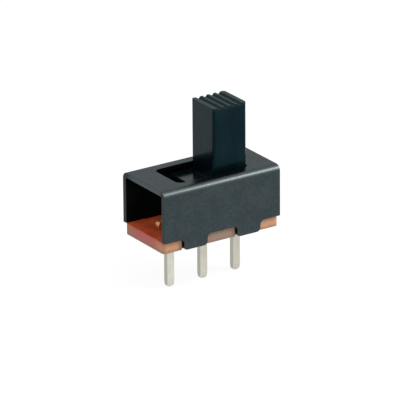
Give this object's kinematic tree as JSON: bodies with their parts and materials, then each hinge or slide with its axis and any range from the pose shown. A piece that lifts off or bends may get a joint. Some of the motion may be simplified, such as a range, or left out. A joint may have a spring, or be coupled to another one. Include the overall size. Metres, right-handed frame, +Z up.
{
  "type": "slide switch",
  "caption": "Miniature two-position slide switch for a circuit board, with a folded steel cover, a phenolic base, flat pins and a tall ridged knob.",
  "frame": {"origin": "middle of the base's underside, which seats on the circuit board, at the middle terminal", "axes": "+X along the row of terminals and the slider's travel, towards the side the slider is stored at; +Y across the switch; +Z up, away from the board"},
  "size_m": [0.0104, 0.0058, 0.0141],
  "materials": {
    "cover_steel": "dark slate grey satin finish on sheet steel",
    "base_phenolic": "red-brown phenolic paper laminate with punched edges",
    "terminal_silver": "silver-plated brass, satin",
    "slider_plastic": "smooth black moulded acetal",
    "clip_bronze": "phosphor bronze spring strip"
  },
  "bodies": {
    "housing": {"cover": "cover_steel", "base": "base_phenolic", "terminal_left": "terminal_silver", "terminal_middle": "terminal_silver", "terminal_right": "terminal_silver"},
    "slider": {"slider": "slider_plastic", "contact_clip": "clip_bronze"}
  },
  "joints": [
    {"name": "slider_travel", "type": "slide", "parent": "housing", "child": "slider", "axis": [1, 0, 0], "range_m": [-0.0032, 0]}
  ]
}
